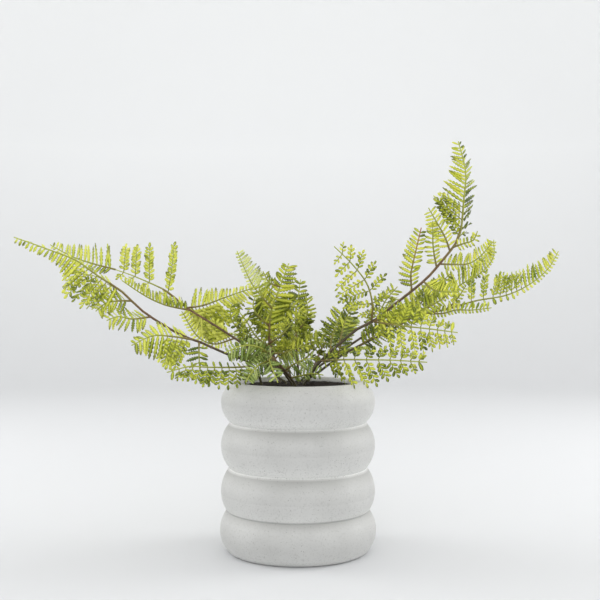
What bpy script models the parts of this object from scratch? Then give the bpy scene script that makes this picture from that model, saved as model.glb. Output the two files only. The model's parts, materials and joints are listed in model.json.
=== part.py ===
"""A potted fern: lace-cut fronds on thin stems, standing in dark soil in a ringed stoneware pot.

Sizes in this file are millimetres and become metres when a mesh is made. The origin is the middle
of the pot's foot, +Z is up, +X is to the right of the side that faces the viewer, at -Y.
"""
import random
from math import cos, pi, radians, sin, sqrt

import bmesh
import bpy
from mathutils import Vector

MM = 0.001
MERGE = 0.00005

# Pot: the middle height and radius of each rounded ring, from the top one down
RING_HEIGHTS = (120.5, 85.5, 48.4, 17.1)
RING_RADII = (62.5, 62.5, 62.5, 63.3)
# The groove under each of the upper three rings, its height and radius
GROOVE_HEIGHTS = (103.8, 67.2, 33.0)
GROOVE_RADII = (54.8, 55.6, 57.6)
LIP_HEIGHT = 136.6
LIP_RADIUS = 51.4
SHOULDER_HEIGHT = 134.6
SHOULDER_RADIUS = 55.0
WALL_INSIDE = 47.0
FLOOR_THICKNESS = 8.0
FOOT_RADIUS = 54.0
FOOT_ROUND_HEIGHT = 4.0
FOOT_ROUND_RADIUS = 59.2
POT_STEPS = 36
ARC_STEPS = 3

# Soil, which fills the pot to just under its lip
SEAT_GAP = 0.3
SOIL_TOP = 133.5
SOIL_EDGE_DROP = 0.6
SOIL_LUMP = 0.6
SOIL_STEPS = 24
HOLE_DEPTH = 24.0
HOLE_GAP = 0.4
HOLE_SIDES = 10

# Stems and leaf blades
STEM_RADIUS = 1.1
STEM_TIP_RADIUS = 0.8
STEM_STEP = 10.0
RIB_HALF_WIDTH = 0.9
RIB_TIP_HALF_WIDTH = 0.5
BLADE_THICKNESS = 0.8
BARE_RIB = 3.0
TIP_SHARE = 0.6
ROUTE_STEP = 3.0
SPRIG_WIDTH = 0.74
ROOT_MOST_WIDTH = 8.0
SPRIG_WIDEST = 0.38
SPRIG_PLAIN = 14.0
SPRIG_LEAST = 2.0
SPRIG_DROOP = 0.06

UP = Vector((0, 0, 1))
VIEWER = Vector((0, -1, 0))
SEED = 7


def srgb(code):
    """A hex colour as the linear values that a shader takes."""
    parts = [int(code[i:i + 2], 16) / 255 for i in (0, 2, 4)]
    return [c / 12.92 if c <= 0.04045 else ((c + 0.055) / 1.055) ** 2.4 for c in parts]


def material(name, colour, roughness):
    """A plain Principled material."""
    made = bpy.data.materials.new(name)
    made.use_nodes = True
    shader = made.node_tree.nodes["Principled BSDF"]
    shader.inputs["Base Color"].default_value = (*srgb(colour), 1)
    shader.inputs["Roughness"].default_value = roughness
    shader.inputs["Metallic"].default_value = 0.0
    return made


def new_collection(name):
    """A collection linked to the scene."""
    made = bpy.data.collections.new(name)
    bpy.context.scene.collection.children.link(made)
    return made


def add_object(name, data, group):
    """An object in a collection."""
    made = bpy.data.objects.new(name, data)
    group.objects.link(made)
    return made


def evaluated_mesh(thing):
    """The mesh an object shows, with its modifiers in it."""
    graph = bpy.context.evaluated_depsgraph_get()
    graph.update()
    return bpy.data.meshes.new_from_object(thing.evaluated_get(graph))


def drop(thing):
    """Removes an object and what it was made from."""
    bpy.data.objects.remove(thing, do_unlink=True)


def turned(name, profile, steps, group):
    """A solid of revolution about Z from a profile in mm that starts and ends on the axis."""
    mesh = bpy.data.meshes.new(name)
    edges = [(i, i + 1) for i in range(len(profile) - 1)]
    mesh.from_pydata([(r * MM, 0, z * MM) for r, z in profile], edges, [])
    made = add_object(name, mesh, group)
    screw = made.modifiers.new("turned", "SCREW")
    screw.axis = "Z"
    screw.angle = 2 * pi
    screw.steps = steps
    screw.render_steps = steps
    screw.use_merge_vertices = True
    screw.merge_threshold = MERGE
    screw.use_smooth_shade = True
    return made


def arc(start, middle, from_middle):
    """Points of a round ring between its widest point and a groove, both (radius, height)."""
    rise, depth = start[1] - middle[1], middle[0] - start[0]
    radius = (rise * rise + depth * depth) / (2 * depth)
    points = []
    for i in range(ARC_STEPS):
        share = (i if from_middle else ARC_STEPS - i) / ARC_STEPS
        lift = rise * share
        points.append((middle[0] - radius + sqrt(radius * radius - lift * lift), middle[1] + lift))
    return points


def pot(group):
    """The stoneware pot: foot, four rounded rings, a rounded lip and a plain inside wall."""
    profile = [
        (0, FLOOR_THICKNESS),
        (WALL_INSIDE - 4, FLOOR_THICKNESS),
        (WALL_INSIDE, FLOOR_THICKNESS + 4),
        (WALL_INSIDE, LIP_HEIGHT - 4.5),
        (WALL_INSIDE + 1.4, LIP_HEIGHT - 1.4),
        (LIP_RADIUS - 1.0, LIP_HEIGHT),
        (LIP_RADIUS + 1.4, LIP_HEIGHT - 0.3),
    ]
    tops = [(SHOULDER_RADIUS, SHOULDER_HEIGHT)] + list(zip(GROOVE_RADII, GROOVE_HEIGHTS))
    bottoms = list(zip(GROOVE_RADII, GROOVE_HEIGHTS)) + [(FOOT_ROUND_RADIUS, FOOT_ROUND_HEIGHT)]
    for widest, top, bottom in zip(zip(RING_RADII, RING_HEIGHTS), tops, bottoms):
        profile += arc(top, widest, False)
        profile += arc(bottom, widest, True)
    profile += [bottoms[-1], (FOOT_RADIUS + 2.2, 0.9), (FOOT_RADIUS, 0), (0, 0)]
    made = turned("pot", profile, POT_STEPS, group)
    made.data.materials.append(material("speckled stoneware", "CFCFCD", 0.55))
    return made


def soil(group, cutters, mouths):
    """The soil, with a plain hole for each stem."""
    inside = WALL_INSIDE - SEAT_GAP
    low = FLOOR_THICKNESS + SEAT_GAP
    profile = [
        (0, SOIL_TOP + 0.3),
        (14, SOIL_TOP + 0.2),
        (30, SOIL_TOP),
        (40, SOIL_TOP - 0.3),
        (inside, SOIL_TOP - SOIL_EDGE_DROP),
        (inside, low + 4),
        (inside - 4, low),
        (0, low),
    ]
    made = turned("soil", profile, SOIL_STEPS, group)
    mesh = evaluated_mesh(made)
    drop(made)
    chance = random.Random(SEED)
    for vertex in mesh.vertices:
        reach = vertex.co.xy.length / MM
        if vertex.co.z > (SOIL_TOP - 1) * MM and reach < inside - 3:
            vertex.co.z += chance.uniform(-SOIL_LUMP, SOIL_LUMP) * MM
    made = add_object("soil", mesh, group)
    for number, (place, radius) in enumerate(mouths):
        bpy.ops.mesh.primitive_cylinder_add(
            vertices=HOLE_SIDES,
            radius=(radius + HOLE_GAP) * MM,
            depth=(HOLE_DEPTH + 10) * MM,
            location=(place.x * MM, place.y * MM, (SOIL_TOP - HOLE_DEPTH / 2 + 4) * MM),
        )
        cutter = bpy.context.object
        cutter.name = f"stem_hole_{number + 1}"
        cutter.hide_render = True
        cutter.display_type = "WIRE"
        for home in cutter.users_collection:
            home.objects.unlink(cutter)
        cutters.objects.link(cutter)
        hole = made.modifiers.new(cutter.name, "BOOLEAN")
        hole.operation = "DIFFERENCE"
        hole.object = cutter
        hole.solver = "EXACT"
    made.data.materials.append(material("dark soil", "2B2622", 0.95))
    return made


def smooth_route(points, step):
    """A smooth curve through the points, as points about step mm apart."""
    ends = [2 * points[0] - points[1], *points, 2 * points[-1] - points[-2]]
    route = []
    for a, b, c, d in zip(ends, ends[1:], ends[2:], ends[3:]):
        count = max(1, round((c - b).length / step))
        for i in range(count):
            t = i / count
            route.append(0.5 * (2 * b + (c - a) * t + (2 * a - 5 * b + 4 * c - d) * t * t
                                + (3 * b - a - 3 * c + d) * t ** 3))
    return route + [points[-1]]


def lengths_along(route):
    """How far along the route each of its points lies."""
    reached = [0.0]
    for a, b in zip(route, route[1:]):
        reached.append(reached[-1] + (b - a).length)
    return reached


def at_length(route, reached, length):
    """The point and the direction of a route at a length along it."""
    for i in range(len(route) - 1):
        if length <= reached[i + 1] or i == len(route) - 2:
            share = (length - reached[i]) / (reached[i + 1] - reached[i])
            before, after = route[max(i - 1, 0)], route[min(i + 2, len(route) - 1)]
            start, end = route[i + 1] - before, after - route[i]
            heading = start.normalized().lerp(end.normalized(), min(max(share, 0), 1))
            return route[i].lerp(route[i + 1], share), heading.normalized()


def graded(values, share):
    """A value read between those of a list that is spread evenly from root to tip."""
    place = share * (len(values) - 1)
    low = min(int(place), len(values) - 2)
    return values[low] + (values[low + 1] - values[low]) * (place - low)


def nearest(route, point):
    """The point of a route that is closest to another point."""
    best = None
    for a, b in zip(route, route[1:]):
        along = max(0, min(1, (point - a).dot(b - a) / (b - a).length_squared))
        place = a.lerp(b, along)
        if best is None or (place - point).length < (best - point).length:
            best = place
    return best


def branch(points, face, left, right, lift=(0, 0), pitch=(7, 7), swing=(66, 66),
           skew=0, along_stem=False):
    """One leaf blade: its rib's route from the stem, the way its upper face looks, and the lengths of
    the sprigs on each side from root to tip. lift turns a side's sprigs up from the blade's plane,
    in degrees. pitch is their spacing, and swing their angle to the rib, from root to tip. skew is
    added to the angle of the left ones and taken from that of the right ones."""
    return {
        "points": [Vector(p) for p in points],
        "face": Vector(face),
        "sizes": (left, right),
        "lift": lift,
        "pitch": pitch,
        "swing": swing,
        "skew": (skew, -skew),
        "along_stem": along_stem,
    }


def rib_steps(total, pitch):
    """The lengths along a rib at which its edge has points, each with the width of the sprig root on
    the stretch that starts there, or 0. Widely set sprigs leave bare rib between them."""
    spaces = []
    while sum(spaces) < total - BARE_RIB - pitch[-1]:
        spaces.append(graded(pitch, sum(spaces) / total))
    fit = (total - BARE_RIB) / (sum(spaces) + TIP_SHARE * pitch[-1])
    reached = BARE_RIB
    steps = []
    for space in spaces:
        root = min(space * fit, ROOT_MOST_WIDTH)
        steps.append((reached, root))
        if space * fit > ROOT_MOST_WIDTH:
            steps.append((reached + root, 0))
        reached += space * fit
    return steps + [(reached, 0)]


def rib_edge(shape, place, right, half):
    """The rib's left and right edge points beside a place on it."""
    return [shape.verts.new((place + side * right * half) * MM) for side in (-1, 1)]


def add_sprig(shape, low, high, heading, reach, size, root):
    """A sprig from the edge points low and high: a plain point when it is small, or a slim leaf."""
    middle = (low.co + high.co) / 2 / MM
    tip = shape.verts.new((middle + reach * size - UP * size * SPRIG_DROOP) * MM)
    if size < SPRIG_PLAIN:
        shape.faces.new((low, tip, high))
        return
    wide = heading * root * SPRIG_WIDTH / 2
    belly = middle + reach * size * SPRIG_WIDEST
    near = shape.verts.new((belly - wide) * MM)
    far = shape.verts.new((belly + wide) * MM)
    shape.faces.new((low, near, far))
    shape.faces.new((low, far, high))
    shape.faces.new((near, tip, far))


def blade_mesh(spec, stem_route):
    """The blade as an open sheet: a rib strip with sprigs cut to the rib along both its edges."""
    points = list(spec["points"])
    if not spec["along_stem"]:
        points[0] = nearest(stem_route, points[0])
    route = smooth_route(points, ROUTE_STEP)
    reached = lengths_along(route)
    total = reached[-1]
    shape = bmesh.new()
    before = None
    for length, sprig_root in rib_steps(total, spec["pitch"]):
        place, heading = at_length(route, reached, length)
        right = heading.cross(spec["face"]).normalized()
        normal = right.cross(heading)
        half = RIB_HALF_WIDTH + (RIB_TIP_HALF_WIDTH - RIB_HALF_WIDTH) * length / total
        edge = rib_edge(shape, place, right, half)
        if before is None:
            root = rib_edge(shape, route[0], right, RIB_TIP_HALF_WIDTH)
            shape.faces.new((*root, edge[1], edge[0]))
        else:
            shape.faces.new((*before["edge"], edge[1], edge[0]))
        if before and before["sprig_root"]:
            heading_there, share = before["heading"], (before["length"] + length) / 2 / total
            for side, way in enumerate((-1, 1)):
                size = graded(spec["sizes"][side], share)
                if size < SPRIG_LEAST:
                    continue
                tilt = radians(spec["lift"][side])
                out = cos(tilt) * way * before["right"] + sin(tilt) * before["normal"]
                swing = radians(graded(spec["swing"], share) + spec["skew"][side])
                reach = cos(swing) * heading_there + sin(swing) * out
                add_sprig(shape, before["edge"][side], edge[side], heading_there, reach, size,
                          before["sprig_root"])
        before = {"edge": edge, "length": length, "heading": heading, "right": right,
                  "normal": normal, "sprig_root": sprig_root}
    tip = shape.verts.new(route[-1] * MM)
    shape.faces.new((*before["edge"], tip))
    bmesh.ops.triangulate(shape, faces=shape.faces[:])
    bmesh.ops.recalc_face_normals(shape, faces=shape.faces[:])
    mesh = bpy.data.meshes.new("blade")
    shape.to_mesh(mesh)
    shape.free()
    return mesh


def tube(route, radii, group):
    """A closed tapering tube along a route, as a mesh object."""
    curve = bpy.data.curves.new("stem", "CURVE")
    curve.dimensions = "3D"
    curve.bevel_depth = MM
    curve.bevel_resolution = 1
    curve.use_fill_caps = True
    spline = curve.splines.new("POLY")
    spline.points.add(len(route) - 1)
    reached = lengths_along(route)
    for point, place, length in zip(spline.points, route, reached):
        point.co = (*(place * MM), 1)
        point.radius = radii[0] + (radii[1] - radii[0]) * length / reached[-1]
    guide = add_object("stem_guide", curve, group)
    mesh = evaluated_mesh(guide)
    drop(guide)
    shape = bmesh.new()
    shape.from_mesh(mesh)
    bmesh.ops.remove_doubles(shape, verts=shape.verts[:], dist=MERGE)
    bmesh.ops.triangulate(shape, faces=shape.faces[:])
    bmesh.ops.recalc_face_normals(shape, faces=shape.faces[:])
    shape.to_mesh(mesh)
    shape.free()
    return add_object("stem", mesh, group)


def frond(name, group, stem, branches, colour, radius=STEM_RADIUS):
    """One frond: its stem and all its blades joined in one solid. The tube of the stem ends a little
    past the root of the blade that lies along the stem, which carries on as its rib."""
    mouth = Vector(stem[0])
    above = smooth_route([Vector(p) for p in stem], STEM_STEP)
    taken_over = [spec["points"][0] for spec in branches if spec["along_stem"]]
    if taken_over:
        last = min(range(len(above)), key=lambda i: (above[i] - taken_over[0]).length) + 1
    else:
        last = len(above) - 1
    foot = Vector((mouth.x, mouth.y, SOIL_TOP - HOLE_DEPTH + 1))
    route = [foot] + above[:last + 1]
    loose = new_collection(name + "_pieces")
    made = tube(route, (radius, radius * STEM_TIP_RADIUS), group)
    made.name = name
    for spec in branches:
        piece = add_object("blade", blade_mesh(spec, above), loose)
        thick = piece.modifiers.new("thickness", "SOLIDIFY")
        thick.thickness = BLADE_THICKNESS * MM
        thick.offset = 0
        thick.use_even_offset = True
        solid = evaluated_mesh(piece)
        piece.modifiers.clear()
        piece.data = solid
    join = made.modifiers.new("joined", "BOOLEAN")
    join.operation = "UNION"
    join.operand_type = "COLLECTION"
    join.collection = loose
    join.solver = "MANIFOLD"
    mesh = evaluated_mesh(made)
    made.modifiers.clear()
    made.data = mesh
    for piece in list(loose.objects):
        drop(piece)
    bpy.data.collections.remove(loose)
    mesh.materials.clear()
    mesh.materials.append(material("leaf " + name, colour, 0.5))
    return made, (mouth, radius)


def left_low(group):
    """The lower left frond: it arches out in front, with its combs hanging."""
    stem = [(-30, 0, 135), (-32, -4, 144), (-42, -9, 154), (-58, -14, 160), (-77, -20, 169),
            (-94, -26, 176), (-121, -34, 194), (-136, -39, 209), (-155, -44, 222),
            (-170, -48, 233), (-192, -54, 242), (-214, -60, 250)]
    branches = [
        branch(stem[7:], UP, (18, 27, 31, 21, 11, 8, 6, 4), (14, 14, 12, 10, 8, 6, 4, 3),
               (-72, 12), (6.5, 4.4), (70, 62), skew=14, along_stem=True),
        branch([(-129, -37, 202), (-139, -40, 202), (-148, -44, 200), (-155, -47, 194)], UP,
               (11, 12, 8), (14, 13, 8), (-70, 40), (4.6, 4.6)),
        branch([(-115, -33, 189), (-128, -40, 188), (-138, -45, 190), (-146, -50, 187)], UP,
               (12, 12, 8), (12, 11, 7), (-70, 40), (4.6, 4.6)),
        branch([(-83, -22, 171), (-97, -32, 174), (-112, -42, 175), (-127, -50, 168)], UP,
               (29, 29, 22, 14, 8), (8, 13, 13, 8, 4), (-72, 50), (6.6, 5.4)),
        branch([(-79, -20, 169), (-78, -26, 160), (-77, -30, 148)], VIEWER, (8, 8, 5),
               (9, 11, 7)),
        branch([(-37, -7, 149), (-48, -30, 150), (-68, -45, 151), (-83, -52, 152),
                (-99, -58, 148)], (0, -0.9, 0.3), (13, 17, 19, 17, 12, 7), (4, 5, 5, 4, 3),
               pitch=(9, 7)),
    ]
    return frond("frond_left_low", group, stem, branches, "A3B33C")


def left_high(group):
    """The upper left frond: it lies behind, with long sprigs standing up from the stem."""
    stem = [(-10, 10, 135), (-17, 14, 139), (-30, 20, 153), (-45, 25, 165), (-70, 32, 181),
            (-95, 38, 196), (-106, 41, 205), (-116, 43, 212), (-141, 47, 223), (-158, 50, 229),
            (-181, 53, 235), (-198, 56, 241), (-217, 59, 251)]
    branches = [
        branch(stem[6:10], UP, (8, 11, 11), (54, 42, 35, 30, 25), (-45, 80), (20, 15, 11, 7),
               (56, 78), along_stem=True),
        branch(stem[9:], UP, (11, 9, 6, 3), (24, 19, 14, 9, 4), (-45, 78), (5, 4.4),
               (76, 70), along_stem=True),
        branch([(-92, 37, 193), (-110, 26, 198), (-124, 22, 204), (-135, 18, 211),
                (-146, 14, 219)], UP, (9, 9, 8, 4), (11, 11, 9, 5), (50, 78), (5.4, 5)),
        branch([(-95, 38, 196), (-82, 46, 198), (-66, 52, 204), (-52, 52, 209),
                (-39, 50, 213)], VIEWER, (18, 15, 10, 6, 4), (24, 28, 22, 12, 6),
               pitch=(5.5, 5)),
        branch([(-53, 27, 171), (-72, 40, 165), (-87, 44, 172), (-100, 44, 193)], VIEWER,
               (5, 5, 4), (27, 26, 18, 8), pitch=(5.5, 5)),
        branch([(-45, 25, 165), (-47, 20, 174), (-55, 16, 186), (-56, 14, 194),
                (-54, 12, 201)], VIEWER, (5, 5, 4), (13, 14, 12, 6), pitch=(5.5, 5)),
    ]
    return frond("frond_left_high", group, stem, branches, "93A035")


def centre(group):
    """The upright frond in the middle, its face to the viewer."""
    stem = [(-5, -4, 135), (-12, -8, 145), (-21, -14, 157), (-23, -20, 175), (-21, -26, 194),
            (-16, -32, 208), (-7, -40, 231)]
    branches = [
        branch(stem[3:], VIEWER, (17, 17, 11, 8, 5), (16, 17, 14, 11, 7), (0, 0), (6, 4.6),
               along_stem=True),
        branch([(-22, -22, 182), (-31, -28, 190), (-35, -32, 198), (-33, -34, 206)], VIEWER,
               (7, 8, 5), (9, 10, 6), pitch=(5, 5)),
        branch([(-20, -27, 196), (-27, -32, 204), (-30, -35, 211), (-30, -37, 216)], VIEWER,
               (7, 8, 4), (7, 8, 4), pitch=(5, 5)),
        branch([(-17, -31, 205), (-10, -26, 200), (-1, -20, 196), (6, -16, 190)], VIEWER,
               (10, 11, 8, 5), (13, 13, 9, 5), pitch=(5, 5)),
        branch([(-14, -34, 213), (-22, -37, 216), (-25, -39, 221), (-27, -40, 225)], VIEWER,
               (6, 6, 4), (6, 6, 4), pitch=(5, 5)),
        branch([(-21, -15, 160), (-10, -20, 161), (0, -24, 165), (10, -26, 167)], VIEWER,
               (11, 12, 9, 5), (9, 9, 6, 4), pitch=(5.5, 5)),
        branch([(-22, -17, 165), (-33, -26, 174), (-40, -34, 186), (-45, -40, 193)], VIEWER,
               (13, 13, 8), (12, 12, 8)),
        branch([(-22, -18, 168), (-12, -28, 176), (-4, -34, 186), (2, -38, 196)], VIEWER,
               (9, 10, 6), (11, 11, 6)),
        branch([(-21, -14, 160), (-33, -17, 163), (-44, -20, 164), (-53, -23, 163)], VIEWER,
               (8, 9, 5), (10, 10, 5)),
    ]
    return frond("frond_centre", group, stem, branches, "A9B63F")


def centre_right(group):
    """The upright frond right of the middle."""
    stem = [(0, 5, 135), (0, 8, 144), (-1, 12, 162), (-2, 16, 186), (0, 19, 203), (2, 22, 220)]
    branches = [
        branch(stem[2:], VIEWER, (16, 17, 14, 9, 5), (15, 16, 13, 9, 5), (0, 0), (6, 5),
               along_stem=True),
        branch([(-2, 14, 176), (5, 10, 184), (8, 6, 194), (6, 2, 206)], VIEWER,
               (9, 10, 8), (8, 8, 6), pitch=(5, 5)),
        branch([(-1, 12, 160), (6, 6, 166), (14, 1, 169), (22, -2, 168)], VIEWER,
               (10, 11, 6), (8, 9, 5), pitch=(5.5, 5)),
        branch([(-1, 9, 150), (10, 12, 158), (19, 16, 168), (26, 20, 180)], VIEWER,
               (9, 9, 5), (11, 11, 6)),
        branch([(-1, 10, 154), (-12, 4, 163), (-20, -2, 174), (-26, -6, 186)], VIEWER,
               (9, 9, 5), (9, 9, 5)),
    ]
    return frond("frond_centre_right", group, stem, branches, "7F9334")


def back_left(group):
    """The pale frond that stands behind the middle and leans left."""
    stem = [(-15, 20, 135), (-20, 34, 152), (-26, 48, 181), (-31, 56, 203), (-40, 60, 216),
            (-47, 64, 230), (-54, 68, 246)]
    branches = [
        branch(stem[2:], VIEWER, (8, 7, 5, 4, 3), (20, 19, 16, 11, 5), (-10, 0), (5.6, 4.6),
               along_stem=True),
        branch([(-18, 28, 143), (-34, 42, 158), (-46, 58, 168), (-58, 74, 174)], UP,
               (12, 14, 8), (12, 14, 8)),
        branch([(-20, 34, 152), (-8, 46, 166), (4, 54, 180), (12, 60, 194)], VIEWER,
               (11, 11, 6), (11, 11, 6)),
    ]
    return frond("frond_back_left", group, stem, branches, "BCC66E")


def front_low(group):
    """The short frond that hangs over the lip in front."""
    stem = [(-2, -14, 135), (-9, -22, 145), (-18, -33, 156), (-29, -44, 166), (-42, -54, 168),
            (-55, -62, 163)]
    branches = [
        branch(stem[2:], VIEWER, (14, 16, 15, 12, 6), (5, 6, 6, 5, 3), pitch=(5.5, 5),
               along_stem=True),
        branch([(-20, -34, 157), (-22, -48, 157), (-19, -58, 150), (-15, -65, 141)], VIEWER,
               (10, 10, 5), (10, 10, 5)),
        branch([(-18, -33, 156), (-28, -48, 154), (-35, -57, 148), (-39, -62, 141)], VIEWER,
               (9, 10, 6), (9, 10, 6), pitch=(6, 5)),
        branch([(-10, -24, 147), (-3, -36, 153), (5, -44, 157), (12, -50, 158)], VIEWER,
               (10, 11, 6), (11, 11, 7), pitch=(5.5, 5)),
        branch([(-6, -18, 141), (2, -26, 143), (11, -30, 145), (20, -32, 144)], VIEWER,
               (9, 10, 6), (5, 6, 4), pitch=(5, 5)),
    ]
    return frond("frond_front_low", group, stem, branches, "6E8F45")


def right_main(group):
    """The tall right frond, with the brown stem in front of the others."""
    stem = [(5, -2, 135), (9, -4, 140), (16, -6, 151), (32, -9, 166), (47, -12, 179),
            (62, -15, 187), (78, -18, 200), (93, -21, 212), (104, -23, 222), (114, -25, 234),
            (124, -27, 247), (128, -28, 258), (130, -30, 281), (131, -32, 303), (125, -34, 327)]
    branches = [
        branch(stem[10:], VIEWER, (37, 35, 30, 23, 18, 15, 12, 9, 6),
               (10, 12, 15, 15, 14, 12, 10, 7, 4), (0, -46), (9, 6.6, 4.8, 4.4, 4.2),
               (53, 60, 62), along_stem=True),
        branch([(120, -26, 241), (115, -31, 252), (108, -36, 263), (101, -40, 274)], VIEWER,
               (9, 10, 6), (7, 8, 5), pitch=(5.5, 5)),
        branch([(122, -27, 244), (130, -34, 247), (136, -38, 249), (139, -40, 256)], VIEWER,
               (6, 5, 4), (5, 5, 4), pitch=(5, 5)),
        branch([(90, -21, 210), (89, -25, 222), (90, -28, 230), (92, -31, 240), (96, -35, 259)],
               VIEWER, (9, 11, 10, 6), (7, 8, 7, 5), pitch=(5.5, 5)),
        branch([(110, -24, 228), (107, -31, 236), (105, -36, 246), (104, -41, 264)], VIEWER,
               (8, 8, 4), (6, 6, 4), pitch=(5.5, 5)),
        branch([(99, -22, 218), (105, -34, 211), (113, -44, 209), (122, -52, 209)], VIEWER,
               (13, 14, 10, 5), (6, 6, 4), pitch=(4.6, 4.4)),
        branch([(112, -24, 231), (125, -18, 231), (137, -12, 232), (147, -8, 238),
                (158, -4, 250)], VIEWER, (9, 10, 9, 5), (5, 6, 5, 3), pitch=(6, 5)),
        branch([(59, -15, 186), (70, -26, 184), (81, -34, 182.5), (101, -46, 180.5),
                (121, -56, 178)], VIEWER, (14, 21, 20, 11, 6), (9, 21, 22, 16, 8), pitch=(11, 5),
               swing=(74, 72)),
        branch([(19, -6, 153), (31, -33, 156), (48, -48, 157), (72, -55, 157), (97, -63, 156)],
               VIEWER, (8, 12, 13, 13, 8), (0, 20, 26, 20, 13, 6), pitch=(12, 7),
               swing=(62, 62)),
        branch([(28, -8, 162), (31, -16, 154), (32, -24, 147), (31, -30, 142)], VIEWER,
               (4, 4, 3), (4, 4, 3), pitch=(5, 5)),
        branch([(33, -8, 167), (37, -4, 182), (42, 0, 194), (48, 2, 203)], (0.8, -0.5, 0.3),
               (9, 10, 5), (9, 10, 5), pitch=(5.5, 5)),
        branch([(26, -8, 161), (27, -4, 170), (31, 3, 182), (37, 10, 194)], VIEWER,
               (4, 13, 9), (7, 8, 5), pitch=(5.5, 5)),
        branch([(60, -15, 187), (68, -22, 188), (78, -28, 193), (86, -32, 199)], VIEWER,
               (5, 5, 3), (9, 9, 5), pitch=(5, 5)),
        branch([(59, -14, 185), (59, -20, 200), (54, -27, 216), (42, -34, 231), (28, -42, 244)],
               VIEWER, (0, 22, 28, 27, 22, 12, 6), (0, 20, 20, 19, 18, 12, 6), pitch=(11, 8),
               swing=(78, 68), skew=20),
    ]
    return frond("frond_right_main", group, stem, branches, "A6B23A", 1.25)


def right_mid(group):
    """The second right frond, behind the main one."""
    stem = [(4, 14, 135), (18, 22, 143), (35, 28, 155), (52, 34, 164), (72, 41, 173),
            (87, 46, 181), (111, 53, 195), (126, 57, 204), (142, 60, 216), (161, 64, 227),
            (172, 67, 240), (173, 69, 256)]
    branches = [
        branch(stem[6:], VIEWER, (17, 18, 16, 12, 6), (7, 6, 5, 4, 3), (10, -40), (5.5, 4.6),
               along_stem=True),
        branch([(52, 34, 164), (62, 27, 171), (74, 20, 179), (86, 14, 184)], VIEWER,
               (10, 12, 7), (12, 12, 7), pitch=(5.5, 5)),
        branch([(33, 27, 154), (40, 34, 178), (44, 38, 188), (47, 42, 203)], VIEWER,
               (9, 10, 5), (9, 10, 5)),
        branch([(63, 38, 169), (67, 34, 186), (74, 32, 202), (84, 30, 214)], VIEWER,
               (12, 12, 6), (13, 13, 6)),
        branch([(78, 43, 176), (92, 34, 186), (107, 28, 196), (122, 22, 204)], VIEWER,
               (14, 14, 7), (9, 10, 6), pitch=(6, 5)),
        branch([(93, 48, 185), (105, 42, 200), (117, 36, 213), (130, 32, 226)], VIEWER,
               (11, 11, 6), (9, 9, 5)),
    ]
    return frond("frond_right_mid", group, stem, branches, "8D9C36")


def right_far(group):
    """The frond that reaches furthest right, its sprigs standing up."""
    stem = [(2, 24, 135), (16, 36, 145), (38, 48, 159), (64, 58, 175), (94, 66, 186),
            (115, 72, 191), (135, 76, 195), (159, 80, 202), (187, 84, 207), (209, 87, 217),
            (226, 89, 231), (236, 91, 247)]
    branches = [
        branch(stem[6:], VIEWER, (28, 30, 26, 21, 17, 12, 6), (6, 7, 7, 6, 5, 4, 3), (0, -20),
               (14, 7, 4.4, 4.2), (78, 66), along_stem=True),
        branch([(80, 62, 181), (90, 56, 191), (100, 51, 202), (111, 47, 212)], VIEWER,
               (11, 12, 7), (9, 9, 5), pitch=(5.5, 5)),
        branch([(113, 72, 188), (128, 64, 191), (138, 58, 194), (151, 54, 194),
                (167, 48, 196)], VIEWER, (8, 9, 6), (4, 4, 3), pitch=(6, 6)),
        branch([(133, 76, 194), (141, 70, 204), (148, 65, 216)], VIEWER, (5, 4), (5, 4),
               pitch=(5, 5)),
    ]
    return frond("frond_right_far", group, stem, branches, "9CAD3A")


def back_right(group):
    """A low frond that arches away behind, to the right."""
    stem = [(9, 30, 135), (14, 46, 146), (22, 72, 162), (32, 104, 174), (44, 138, 182),
            (54, 170, 186)]
    branches = [
        branch(stem[2:], UP, (22, 22, 16, 6), (22, 22, 16, 6), (-8, -8), (8, 7),
               along_stem=True),
        branch([(16, 50, 148), (34, 60, 156), (52, 74, 160), (68, 92, 160)], UP,
               (14, 14, 6), (14, 14, 6)),
    ]
    return frond("frond_back_right", group, stem, branches, "8FA23A")


def back_mid(group):
    """A frond that arches away behind, to the left."""
    stem = [(-6, 32, 135), (-10, 52, 152), (-16, 82, 174), (-26, 114, 188), (-38, 146, 194)]
    branches = [
        branch(stem[1:], UP, (24, 24, 18, 6), (24, 24, 18, 6), (-8, -8), (8, 7),
               along_stem=True),
        branch([(-8, 40, 140), (-28, 58, 148), (-46, 80, 152), (-62, 104, 150)], UP,
               (14, 14, 6), (14, 14, 6)),
    ]
    return frond("frond_back_mid", group, stem, branches, "7F9638")


def main():
    for thing in list(bpy.data.objects):
        bpy.data.objects.remove(thing, do_unlink=True)
    group = new_collection("potted_fern")
    cutters = new_collection("cutters")
    pot(group)
    mouths = []
    for make in (left_low, left_high, centre, centre_right, front_low, right_main, right_mid,
                 right_far, back_left, back_right, back_mid):
        _, mouth = make(group)
        mouths.append(mouth)
    soil(group, cutters, mouths)


main()
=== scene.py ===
"""The looks of a potted fern: lace-cut moulded fronds in dark soil, in a ringed stoneware pot.

The sections follow the way it is put together: the studio, then the pot, the soil and the fronds.
Shapes are given in millimetres and become metres when a mesh is made.
"""
import json
import random
from math import acos, copysign, cos, pi, radians, sin, sqrt

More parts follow.
